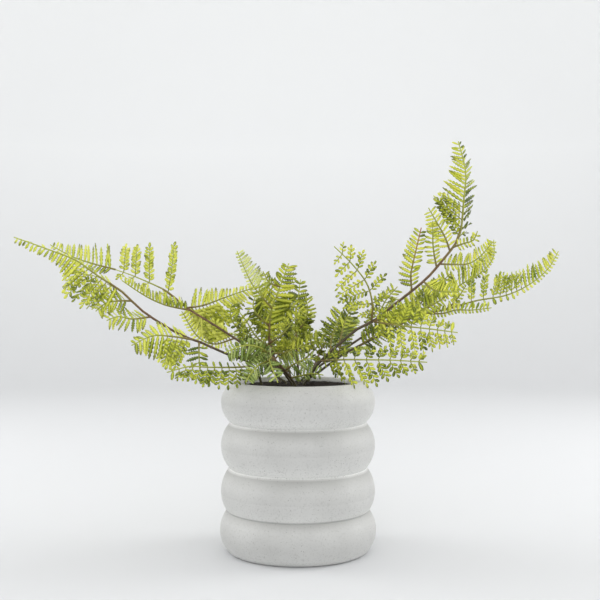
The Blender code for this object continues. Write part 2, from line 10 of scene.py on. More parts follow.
import bmesh
import bpy
import numpy as np
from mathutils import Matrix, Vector

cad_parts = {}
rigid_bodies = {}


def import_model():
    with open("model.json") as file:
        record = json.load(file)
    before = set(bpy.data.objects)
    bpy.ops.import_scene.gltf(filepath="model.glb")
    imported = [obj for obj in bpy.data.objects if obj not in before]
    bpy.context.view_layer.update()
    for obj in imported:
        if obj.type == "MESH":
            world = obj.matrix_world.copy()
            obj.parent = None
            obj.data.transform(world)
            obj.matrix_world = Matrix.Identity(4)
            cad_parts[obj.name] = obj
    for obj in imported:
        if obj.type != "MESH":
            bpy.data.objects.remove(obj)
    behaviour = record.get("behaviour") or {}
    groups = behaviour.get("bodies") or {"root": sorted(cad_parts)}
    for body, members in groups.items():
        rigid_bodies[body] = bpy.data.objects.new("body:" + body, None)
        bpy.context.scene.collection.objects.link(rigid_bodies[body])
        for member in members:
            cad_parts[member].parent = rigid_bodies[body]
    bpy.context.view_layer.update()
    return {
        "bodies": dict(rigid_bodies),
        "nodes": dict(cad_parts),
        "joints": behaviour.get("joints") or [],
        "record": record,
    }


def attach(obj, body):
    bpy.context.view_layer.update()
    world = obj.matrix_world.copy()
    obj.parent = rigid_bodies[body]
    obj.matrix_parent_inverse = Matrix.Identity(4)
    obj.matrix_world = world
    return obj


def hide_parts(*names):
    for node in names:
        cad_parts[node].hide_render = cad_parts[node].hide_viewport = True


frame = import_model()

# Studio
# A pale matt floor that curves up into a wall all round, so no edge shows behind the plant. The
# light comes evenly from the open top, with broad soft lamps at both sides and in front.
MM = 0.001
FLOOR_FLAT_RADIUS = 1.5
WALL_BEND_RADIUS = 0.7
WALL_TOP = 1.6
BEND_STEPS = 10
FLOOR_SIDES = 96
DAYLIGHT = 1.25
LAMPS = (("lamp_left", (-1.25, 0.35, 0.75), 7.0), ("lamp_right", (1.25, 0.35, 0.75), 9.0),
         ("lamp_front", (-0.1, -1.85, 0.75), 5.9))
LAMP_SIZE = 0.9
LAMP_AIM = Vector((0, 0, 0.15))
EYE = (0.0016, -0.8, 0.2027)
LENS_LENGTH = 58.96
SENSOR_WIDTH = 36.0


def linear(code):
    """A hex colour as the linear values that a shader takes, with full alpha."""
    parts = [int(code[i:i + 2], 16) / 255 for i in (0, 2, 4)]
    return (*[c / 12.92 if c <= 0.04045 else ((c + 0.055) / 1.055) ** 2.4 for c in parts], 1)


def add_node(tree, kind, settings=None, links=None):
    """A shader node with its properties and socket values set, and its inputs linked."""
    made = tree.nodes.new("ShaderNode" + kind)
    for key, value in (settings or {}).items():
        if isinstance(key, str) and hasattr(made, key):
            setattr(made, key, value)
        else:
            made.inputs[key].default_value = value
    for key, source in (links or {}).items():
        tree.links.new(source, made.inputs[key])
    return made


def new_material(name):
    """An empty node material with its tree, and the output that its surface goes to."""
    made = bpy.data.materials.new(name)
    made.use_nodes = True
    made.node_tree.nodes.clear()
    return made, made.node_tree, add_node(made.node_tree, "OutputMaterial")


def add_ramp(tree, value, stops):
    """The colours of a ramp that is read at a value, from its stops as (position, hex colour)."""
    made = add_node(tree, "ValToRGB", links={"Fac": value})
    elements = made.color_ramp.elements
    for element, (position, code) in zip((elements[0], elements[1]), (stops[0], stops[-1])):
        element.position = position
        element.color = linear(code)
    for position, code in stops[1:-1]:
        elements.new(position).color = linear(code)
    return made.outputs["Color"]


def laid_over(tree, share, under, code):
    """A hex colour laid over another colour, as far as share says."""
    return add_node(tree, "Mix", {"data_type": "RGBA", 7: linear(code)},
                    {0: share, 6: under}).outputs[2]


def deselect():
    """Leaves nothing selected, so that an operator only meets what is added next."""
    bpy.ops.object.select_all(action="DESELECT")


def select_in_mesh(kind, test):
    """Selects just the vertices, edges or faces of the mesh in edit mode that pass a test."""
    bpy.ops.mesh.select_mode(type=kind)
    bpy.ops.mesh.select_all(action="DESELECT")
    shape = bmesh.from_edit_mesh(bpy.context.object.data)
    for part in {"VERT": shape.verts, "EDGE": shape.edges, "FACE": shape.faces}[kind]:
        if test(part):
            part.select_set(True)
    shape.select_flush_mode()
    bmesh.update_edit_mesh(bpy.context.object.data)


def close_mesh():
    """Leaves edit mode, with the whole mesh in triangles that face outwards."""
    bpy.ops.mesh.select_all(action="SELECT")
    bpy.ops.mesh.quads_convert_to_tris()
    bpy.ops.mesh.normals_make_consistent(inside=False)
    bpy.ops.object.mode_set(mode="OBJECT")


deselect()
bpy.ops.mesh.primitive_circle_add(vertices=FLOOR_SIDES, radius=FLOOR_FLAT_RADIUS, fill_type="NGON")
floor = bpy.context.object
floor.name = "studio_floor"
bpy.ops.object.mode_set(mode="EDIT")
select_in_mesh("EDGE", lambda edge: edge.is_boundary)
reach, height = FLOOR_FLAT_RADIUS, 0.0
for step in range(1, BEND_STEPS + 2):
    turn = pi / 2 * min(step, BEND_STEPS) / BEND_STEPS
    wide = FLOOR_FLAT_RADIUS + WALL_BEND_RADIUS * sin(turn)
    tall = WALL_BEND_RADIUS * (1 - cos(turn)) if step <= BEND_STEPS else WALL_TOP
    bpy.ops.mesh.extrude_edges_move(TRANSFORM_OT_translate={"value": (0, 0, tall - height)})
    bpy.ops.transform.resize(value=(wide / reach, wide / reach, 1))
    reach, height = wide, tall
bpy.ops.object.mode_set(mode="OBJECT")
bpy.ops.object.shade_smooth()

paper, tree, output = new_material("matt studio paper")
place = add_node(tree, "SeparateXYZ",
                 links={"Vector": add_node(tree, "TexCoord").outputs["Object"]})
climb = add_node(tree, "MapRange", {"From Min": 0.0, "From Max": 0.65},
                 {"Value": place.outputs["Z"]})
tint = add_node(tree, "Mix", {"data_type": "RGBA", 6: linear("C8C9CB"), 7: linear("E8E9EA")},
                {0: climb.outputs["Result"]})
sheet = add_node(tree, "BsdfPrincipled", {"Roughness": 0.9}, {"Base Color": tint.outputs[2]})
tree.links.new(sheet.outputs["BSDF"], output.inputs["Surface"])
floor.data.materials.append(paper)

world = bpy.data.worlds.new("soft daylight")
world.use_nodes = True
sky = world.node_tree.nodes["Background"]
sky.inputs["Color"].default_value = linear("FEFEFC")
sky.inputs["Strength"].default_value = DAYLIGHT
bpy.context.scene.world = world

for name, place, energy in LAMPS:
    lamp = bpy.data.lights.new(name, "AREA")
    lamp.shape = "DISK"
    lamp.size = LAMP_SIZE
    lamp.energy = energy
    stand = bpy.data.objects.new(name, lamp)
    bpy.context.scene.collection.objects.link(stand)
    stand.location = place
    stand.rotation_euler = (LAMP_AIM - stand.location).to_track_quat("-Z", "Y").to_euler()

lens = bpy.data.cameras.new("camera")
lens.sensor_width = SENSOR_WIDTH
lens.lens = LENS_LENGTH
camera = bpy.data.objects.new("camera", lens)
bpy.context.scene.collection.objects.link(camera)
camera.location = EYE
camera.rotation_euler = (pi / 2, 0, 0)
bpy.context.scene.camera = camera
bpy.context.scene.view_settings.view_transform = "Standard"

# Pot
# One thrown stoneware body of four soft rings, with a rounded lip and a flat foot. Its matt glaze
# is off-white, and the iron in the clay shows through it as fine grey specks.
RING_HEIGHTS = (120.5, 85.5, 48.4, 17.1)
RING_RADII = (62.5, 62.5, 62.5, 63.3)
GROOVE_HEIGHTS = (103.8, 67.2, 33.0)
GROOVE_RADII = (54.8, 55.6, 57.6)
SHOULDER = (55.0, 134.6)
LIP = ((53.6, 136.1), (52.4, 136.6), (50.9, 136.6), (49.4, 136.3), (48.2, 135.2), (47.3, 133.4))
FOOT_RADIUS = 54.0
FOOT_ROUND = ((55.3, 0.25), (56.6, 0.95), (58.0, 2.3))
FOOT_TOP = (59.2, 4.0)
WALL_INSIDE = 47.0
FLOOR_THICKNESS = 8.0
INSIDE_HEIGHTS = (130.0, 60.0)
FLOOR_ROUND = ((0, 4), (1.2, 1.2), (4, 0))
ARC_STEPS = 9
POT_SIDES = 96
GLAZE = "BFBFBD"
GLAZE_THIN = "B6B6B4"
GLAZE_GRAIN = "A3A3A0"
# Painted light on the rings' undersides and painted shade just below the grooves, and how far in
# from the rings' widest place both reach.
UNDERSIDE_PAINTED_LIGHT = "EAEAE7"
GROOVE_PAINTED_SHADE = "8F8F8B"
GROOVE_SHADING_REACH = 6.0
SPECK = "6E6D69"
SPECK_APART = 1.4
SPECK_SIZE = 0.44


def ring_arc(start, middle, upwards):
    """The points of a ring's round between a groove and its widest place, as (radius, height)."""
    rise, depth = start[1] - middle[1], middle[0] - start[0]
    radius = (rise * rise + depth * depth) / (2 * depth)
    shares = [i / ARC_STEPS for i in range(ARC_STEPS)]
    if not upwards:
        shares = [1 - share for share in shares]
    return [(middle[0] - radius + sqrt(radius * radius - (rise * share) ** 2),
             middle[1] + rise * share) for share in shares]


def pot_profile():
    """The pot's outline from the rim of its foot up the outside and down the inside."""
    profile = [*FOOT_ROUND]
    lows = [FOOT_TOP, *zip(GROOVE_RADII[::-1], GROOVE_HEIGHTS[::-1])]
    highs = [*lows[1:], SHOULDER]
    for middle, low, high in zip(zip(RING_RADII[::-1], RING_HEIGHTS[::-1]), lows, highs):
        profile += ring_arc(low, middle, False)
        profile += ring_arc(high, middle, True)
    profile += [SHOULDER, *LIP, *((WALL_INSIDE, tall) for tall in INSIDE_HEIGHTS)]
    profile += [(WALL_INSIDE - inwards, FLOOR_THICKNESS + up) for inwards, up in FLOOR_ROUND]
    return profile


deselect()
bpy.ops.mesh.primitive_circle_add(vertices=POT_SIDES, radius=FOOT_RADIUS * MM, fill_type="NGON")
pot = bpy.context.object
pot.name = "stoneware_pot"
bpy.ops.object.mode_set(mode="EDIT")
bpy.ops.mesh.select_all(action="SELECT")
radius, height = FOOT_RADIUS, 0.0
for wide, tall in pot_profile():
    bpy.ops.mesh.extrude_region_move(
        TRANSFORM_OT_translate={"value": (0, 0, (tall - height) * MM)})
    bpy.ops.transform.resize(value=(wide / radius, wide / radius, 1))
    radius, height = wide, tall
bpy.ops.mesh.select_all(action="SELECT")
bpy.ops.mesh.normals_make_consistent(inside=False)
bpy.ops.object.mode_set(mode="OBJECT")
bpy.ops.object.shade_smooth_by_angle(angle=radians(40))

# Painted light and shade on the glaze: a painted shadow on the top of each ring just below every
# groove, and painted light from the floor on the undersides of the rings and the foot.
painted_groove_shading = pot.data.attributes.new("painted_groove_shading", "FLOAT", "POINT")
for point, value in zip(pot.data.vertices, painted_groove_shading.data):
    reach = point.co.xy.length / MM
    inwards = max(0, min(1, (max(RING_RADII) - reach) / GROOVE_SHADING_REACH))
    if reach > FOOT_RADIUS and (point.normal.z < 0 or point.co.z < GROOVE_HEIGHTS[0] * MM):
        value.value = -copysign(inwards, point.normal.z)


def stoneware():
    """Speckled stoneware under a matt glaze: cloudy off-white with small soft specks, with painted
    light on the undersides of the rings and a painted shadow just below each groove, rougher in
    patches, with a faint uneven skin."""
    made, tree, output = new_material("speckled stoneware glaze")
    place = add_node(tree, "TexCoord").outputs["Object"]
    cloud = add_node(tree, "TexNoise", {"Scale": 1 / 0.028, "Detail": 3.0, "Roughness": 0.55},
                     {"Vector": place})
    body = add_ramp(tree, cloud.outputs["Fac"], ((0.32, GLAZE_THIN), (0.66, GLAZE)))
    # Painted light on the undersides and painted shade below the grooves, as the mesh's values say.
    painted_groove_shading = add_node(tree, "Attribute", {"attribute_name": "painted_groove_shading"})
    underside_light = add_node(tree, "MapRange", {"To Max": 0.7}, {"Value": painted_groove_shading.outputs["Fac"]})
    groove_shade = add_node(tree, "MapRange", {"From Min": -0.3, "From Max": -1.0, "To Max": 0.55},
                    {"Value": painted_groove_shading.outputs["Fac"]})
    with_underside_light = laid_over(tree, underside_light.outputs["Result"], body, UNDERSIDE_PAINTED_LIGHT)
    glaze = laid_over(tree, groove_shade.outputs["Result"], with_underside_light, GROOVE_PAINTED_SHADE)
    grain = add_node(tree, "TexNoise", {"Scale": 1 / 0.0014, "Detail": 2.0}, {"Vector": place})
    mottle = add_node(tree, "MapRange", {"From Min": 0.52, "From Max": 0.72, "To Max": 0.4},
                      {"Value": grain.outputs["Fac"]})
    mottled = laid_over(tree, mottle.outputs["Result"], glaze, GLAZE_GRAIN)
    cells = add_node(tree, "TexVoronoi", {"Scale": 1 / (SPECK_APART * MM), "Randomness": 1.0},
                     {"Vector": place})
    pick = add_node(tree, "SeparateColor", links={"Color": cells.outputs["Color"]})
    size = add_node(tree, "MapRange", {"From Min": 0.3, "From Max": 1.0, "To Min": 0.0,
                                       "To Max": SPECK_SIZE / SPECK_APART / 1.2},
                    {"Value": pick.outputs["Red"]})
    inside = add_node(tree, "Math", {"operation": "SUBTRACT"},
                      {0: size.outputs["Result"], 1: cells.outputs["Distance"]})
    soft = add_node(tree, "MapRange", {"From Min": -0.02, "From Max": 0.06, "To Max": 0.9},
                    {"Value": inside.outputs["Value"]})
    speck = add_node(tree, "Math", {"operation": "MULTIPLY"},
                     {0: soft.outputs["Result"], 1: pick.outputs["Green"]})
    colour = laid_over(tree, speck.outputs["Value"], mottled, SPECK)
    skin = add_node(tree, "TexNoise", {"Scale": 1 / 0.0012, "Detail": 2.0}, {"Vector": place})
    rough = add_node(tree, "MapRange", {"To Min": 0.5, "To Max": 0.68},
                     {"Value": cloud.outputs["Fac"]})
    bump = add_node(tree, "Bump", {"Strength": 0.25, "Distance": 0.00012},
                    {"Height": skin.outputs["Fac"]})
    shader = add_node(tree, "BsdfPrincipled", {"IOR": 1.5},
                      {"Base Color": colour, "Roughness": rough.outputs["Result"],
                       "Normal": bump.outputs["Normal"]})
    tree.links.new(shader.outputs["BSDF"], output.inputs["Surface"])
    return made


pot.data.materials.append(stoneware())
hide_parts("pot")
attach(pot, "root")

# Soil
# Dark loose filling that covers the feet of the stems: a lumpy disc a little below the lip, with
# crumbs and chips lying on it. It is dull and nearly black.
SOIL_TOP = 133.5
SOIL_EDGE_DROP = 0.6
SOIL_RADIUS = 46.7
SOIL_DEPTH = 14.0
SOIL_LUMP = 0.9
SOIL_RIM = 3.0
SOIL_SIDES = 48
SOIL_CUTS = 7
CRUMBS = 420
CRUMB_SIZES = (0.7, 2.0)
CRUMB_SMALLER = (0.6, 1.0)
CRUMB_STRETCH = (0.7, 1.2)
CRUMB_MARGIN = 2.5

deselect()
bpy.ops.mesh.primitive_circle_add(vertices=SOIL_SIDES, radius=SOIL_RADIUS * MM,
                                  fill_type="TRIFAN",
                                  location=(0, 0, (SOIL_TOP - SOIL_EDGE_DROP) * MM))
soil = bpy.context.object
soil.name = "dark_soil"
bpy.ops.object.mode_set(mode="EDIT")
bpy.ops.mesh.select_all(action="SELECT")
bpy.ops.mesh.subdivide(number_cuts=SOIL_CUTS)
select_in_mesh("VERT", lambda point: point.co.xy.length < (SOIL_RADIUS - SOIL_RIM) * MM)
bpy.ops.transform.translate(value=(0, 0, SOIL_EDGE_DROP * MM))
bpy.ops.transform.vertex_random(offset=SOIL_LUMP * MM, seed=3)
select_in_mesh("EDGE", lambda edge: edge.is_boundary)
bpy.ops.mesh.extrude_edges_move(TRANSFORM_OT_translate={"value": (0, 0, -SOIL_DEPTH * MM)})
bpy.ops.mesh.edge_face_add()
close_mesh()
bpy.ops.object.transform_apply(location=True, rotation=True, scale=True)

deselect()
bpy.ops.mesh.primitive_ico_sphere_add(subdivisions=1, radius=1.0)
crumb = bpy.context.object
bpy.ops.object.mode_set(mode="EDIT")
bpy.ops.mesh.select_all(action="SELECT")
bpy.ops.transform.vertex_random(offset=0.28, seed=5)
bpy.ops.transform.resize(value=(1.0, 0.75, 0.6))
bpy.ops.object.mode_set(mode="OBJECT")

chance = random.Random(11)
shape = bmesh.new()
shape.from_mesh(soil.data)
for number in range(CRUMBS):
    before = len(shape.verts)
    shape.from_mesh(crumb.data)
    reach = (SOIL_RADIUS - CRUMB_MARGIN) * sqrt(chance.random())
    turn = chance.uniform(0, 2 * pi)
    size = chance.uniform(*CRUMB_SIZES) * chance.uniform(*CRUMB_SMALLER)
    stretch = [size * chance.uniform(*CRUMB_STRETCH) * MM for _ in range(3)]
    roll = chance.uniform(0, 2 * pi)
    shape.verts.ensure_lookup_table()
    for point in shape.verts[before:]:
        x, y, z = (part * scale for part, scale in zip(point.co, stretch))
        point.co = (x * cos(roll) - y * sin(roll) + reach * cos(turn) * MM,
                    x * sin(roll) + y * cos(roll) + reach * sin(turn) * MM,
                    z + (SOIL_TOP - SOIL_EDGE_DROP * (reach / SOIL_RADIUS) ** 4) * MM)
shape.to_mesh(soil.data)
shape.free()
bpy.data.objects.remove(crumb, do_unlink=True)


def dark_soil():
    """Potting soil: nearly black with brown crumbs, fully dull, its grain a couple of mm."""
    made, tree, output = new_material("dark potting soil")
    place = add_node(tree, "TexCoord").outputs["Object"]
    grain = add_node(tree, "TexNoise", {"Scale": 1 / 0.0025, "Detail": 5.0, "Roughness": 0.7},
                     {"Vector": place})
    colour = add_ramp(tree, grain.outputs["Fac"], ((0.35, "0E0C0A"), (0.72, "2E251E")))
    bump = add_node(tree, "Bump", {"Strength": 0.6, "Distance": 0.0006},
                    {"Height": grain.outputs["Fac"]})
    shader = add_node(tree, "BsdfPrincipled", {"Roughness": 0.95, "IOR": 1.4},
                      {"Base Color": colour, "Normal": bump.outputs["Normal"]})
    tree.links.new(shader.outputs["BSDF"], output.inputs["Surface"])
    return made


soil.data.materials.append(dark_soil())
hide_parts("soil")
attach(soil, "root")

# Fronds
# Each frond is one soft plastic moulding: a stem, side ribs, finer ribs on those, and small blunt
# leaflets on both sides of these. Its foot is pushed into the soil. One leaflet is modelled here
# and copied many times, so the copies are placed in code.
ROOT_HEIGHT = 110.5
STEM_RADIUS = 1.1
STEM_TIP_SHARE = 0.8
STEM_SIDES = 9
RIB_RADIUS = 0.85
RIB_TIP_RADIUS = 0.45
RIB_SIDES = 5
TWIG_RADIUS = 0.48
TWIG_SIDES = 3
ROUTE_STEP = 3.0
STEM_STEP = 10.0
BARE_RIB = 3.0
TIP_SHARE = 0.6
ROOT_MOST_WIDTH = 8.0
SPRIG_LEAST = 2.0
SPRIG_PLAIN = 8.5
CROWDED_SPACE = 4.6
STRAP_MOST = 23.5
STRAP_SHARE = 0.64
STRAP_WIDTHS = (1.6, 4.2)
LOBED_LEAST = 8.5
LOBED_SHARE = 0.95
# How much lighter a leaflet's middle is than its edge: a painted highlight in the middle and
# painted shade at the edge.
PAINTED_MIDDLE_HIGHLIGHT = 0.72
DARK_TIPS = 0.67
SHORT_SPRIG = 10.5
SHORT_CLOSER = 0.78
CLOSEST = 3.1
SPRIG_DROOP = 0.06
LEAFLET_LENGTH = 5.2
LEAFLET_WIDTH = 2.8
LEAFLET_SPACE = 2.9
LEAFLET_MOST_SHARE = 0.36
LEAFLET_SWING = 58
LEAFLET_SWING_LOST = 16
LEAFLET_ROOT_SIZE = 0.86
LEAFLET_SWELL = 0.3
LEAFLET_TAPER = 0.22
SIDE_STAGGER = 0.35
SPRIG_BARE = 2.2
SPRIG_BARE_SHARE = 0.2
EDGEWAYS_SPACE = 7.5
EDGEWAYS_SHARE = 0.8
CLOSE_LEAST = 0.6
CLOSE_RISE = 0.042
TILT_SPREAD = 0.16
ROLL_SPREAD = 0.26
TURN_SPREAD = 0.09
TONE_SPREAD = 0.2
LENGTH_RANGE = (0.9, 1.08)
WIDTH_RANGE = (0.88, 1.1)
TIP_DARK = 0.95
TIP_PLAIN = 0.25
STEM_TONES = (0.0, 0.45)
STEM_RIB_TONES = (0.45, 0.95)
RIB_TONES = (0.4, 0.85)
TWIG_TONES = (0.6, 0.9)
UP = Vector((0, 0, 1))
VIEWER = Vector((0, -1, 0))

deselect()
bpy.ops.mesh.primitive_uv_sphere_add(segments=7, ring_count=3, radius=0.5)
leaflet = bpy.context.object
bpy.ops.object.mode_set(mode="EDIT")
bpy.ops.mesh.select_all(action="SELECT")
bpy.ops.transform.resize(value=(1.15, 1.15, 0.15))
bpy.ops.transform.translate(value=(0.5, 0, 0))
select_in_mesh("VERT", lambda point: point.co.x < 0.4)
bpy.ops.transform.resize(value=(1, 0.8, 1))
select_in_mesh("VERT", lambda point: point.co.x < 0.1)
bpy.ops.transform.resize(value=(1, 0.55, 0.7))
select_in_mesh("VERT", lambda point: abs(point.co.y) < 0.02 and 0.3 < point.co.x < 0.7)
bpy.ops.transform.translate(value=(0, 0, -0.09))
close_mesh()


def as_form(thing):
    """What copying a small leaf needs: its points, its triangles, how near each point is to the
    tip and to the edge. The modelled object goes."""
    points = np.array([point.co[:] for point in thing.data.vertices])
    faces = np.array([face.vertices[:] for face in thing.data.polygons])
    bpy.data.objects.remove(thing, do_unlink=True)
    tips = np.clip((points[:, 0] - 0.6) / 0.4, 0, 1)
    edges = np.abs(points[:, 1]) / np.abs(points[:, 1]).max()
    return points, faces, tips, edges


LEAFLET = as_form(leaflet)

# A sprig of a crowded comb is one narrow leaf with a few rounded lobes along both edges.
LOBES = (0.74, 0.96, 1.0, 0.9, 0.68)
LOBE_LENGTH = 0.178
LOBE_NOTCH = 0.5
LOBE_LEAN = 0.05
deselect()
bpy.ops.mesh.primitive_circle_add(vertices=4, radius=0.5, fill_type="NGON",
                                  rotation=(0, pi / 2, 0))
bpy.ops.object.transform_apply(location=False, rotation=True, scale=False)
lobed = bpy.context.object
bpy.ops.object.mode_set(mode="EDIT")
bpy.ops.mesh.select_all(action="SELECT")
bpy.ops.transform.resize(value=(1, 0.12, 0.1))
reach, width = 0.0, 0.12
outline = [((number + along) * LOBE_LENGTH, wide) for number, lobe in enumerate(LOBES)
           for along, wide in ((0.16, lobe * LOBE_NOTCH), (0.55, lobe), (0.84, lobe * 0.82))]
for place, wide in [*outline, (0.9, 0.36), (0.97, 0.28), (1.0, 0.1)]:
    bpy.ops.mesh.extrude_region_move(TRANSFORM_OT_translate={"value": (place - reach, 0, 0)})
    bpy.ops.transform.resize(value=(1, wide / width, 1))
    reach, width = place, wide
select_in_mesh("VERT", lambda point: abs(point.co.y) > 0.3 and point.co.x < 0.88)
bpy.ops.transform.translate(value=(LOBE_LEAN, 0, -0.04))
close_mesh()
LOBED = as_form(lobed)


def smooth_route(points, step):
    """A smooth curve through the points, as points about step mm apart."""
    ends = [2 * points[0] - points[1], *points, 2 * points[-1] - points[-2]]
    route = []
    for a, b, c, d in zip(ends, ends[1:], ends[2:], ends[3:]):
        count = max(1, round((c - b).length / step))
        for i in range(count):
            t = i / count
            route.append(0.5 * (2 * b + (c - a) * t + (2 * a - 5 * b + 4 * c - d) * t * t
                                + (3 * b - a - 3 * c + d) * t ** 3))
    return route + [points[-1]]


def lengths_along(route):
    """How far along the route each of its points lies."""
    reached = [0.0]
    for a, b in zip(route, route[1:]):
        reached.append(reached[-1] + (b - a).length)
    return reached


def at_length(route, reached, length):
    """The point and the direction of a route at a length along it."""
    for i in range(len(route) - 1):
        if length <= reached[i + 1] or i == len(route) - 2:
            share = (length - reached[i]) / (reached[i + 1] - reached[i])
            before, after = route[max(i - 1, 0)], route[min(i + 2, len(route) - 1)]
            start, end = route[i + 1] - before, after - route[i]
            heading = start.normalized().lerp(end.normalized(), min(max(share, 0), 1))
            return route[i].lerp(route[i + 1], share), heading.normalized()


def graded(values, share):
    """A value read between those of a list that is spread evenly from root to tip."""
    place = share * (len(values) - 1)
    low = min(int(place), len(values) - 2)
    return values[low] + (values[low + 1] - values[low]) * (place - low)


def nearest(route, point):
    """The point of a route that is closest to another point."""
    best = None
    for a, b in zip(route, route[1:]):
        along = max(0, min(1, (point - a).dot(b - a) / (b - a).length_squared))
        place = a.lerp(b, along)
        if best is None or (place - point).length < (best - point).length:
            best = place
    return best


def branch(points, face, left, right, lift=(0, 0), pitch=(7, 7), swing=(66, 66),
           skew=0, along_stem=False, red=0.0, shade=0.0, behind=0.0, full=1.0, closer=1.0):
    """One leaf blade: its rib's route from the stem, the way its upper face looks, and the lengths
    of the sprigs on each side from root to tip. lift turns a side's sprigs up from the blade's
    plane, in degrees. pitch is their spacing, and swing their angle to the rib, from root to tip.
    skew is added to the angle of the left ones and taken from that of the right ones. red is how
    far its rib has turned red-brown towards the tip, shade how much lighter or darker than the rest
    it is, where darker partly its own colour and partly painted shade from the fronds around it,
    behind how much darker its right sprigs are, a painted shade on sprigs seen edgeways, full how
    large its leaflets are, and closer a factor on the spacing of its sprigs."""
    return {
        "points": [Vector(p) for p in points],
        "face": Vector(face),
        "sizes": (left, right),
        "lift": lift,
        "pitch": pitch,
        "swing": swing,
        "skew": (skew, -skew),
        "along_stem": along_stem,
        "red": red,
        "shade": (shade, shade - behind),
        "full": full,
        "closer": closer,
    }


def sprig_places(total, pitch, closer, sizes):
    """The stretches of a rib that carry a sprig on each side, as (start, end, spacing)."""
    spaces = []
    pitch = [space * closer * min(1, CLOSE_LEAST + CLOSE_RISE * space) for space in pitch]
    while sum(spaces) < total - BARE_RIB - pitch[-1]:
        share = sum(spaces) / total
        space = graded(pitch, share)
        if max(graded(side, share) for side in sizes) < SHORT_SPRIG:
            space = max(space * SHORT_CLOSER, min(space, CLOSEST))
        spaces.append(space)
    fit = (total - BARE_RIB) / (sum(spaces) + TIP_SHARE * pitch[-1])
    reached = BARE_RIB
    places = []
    for space in spaces:
        places.append((reached, reached + min(space * fit, ROOT_MOST_WIDTH), space * fit))
        reached += space * fit
    return places


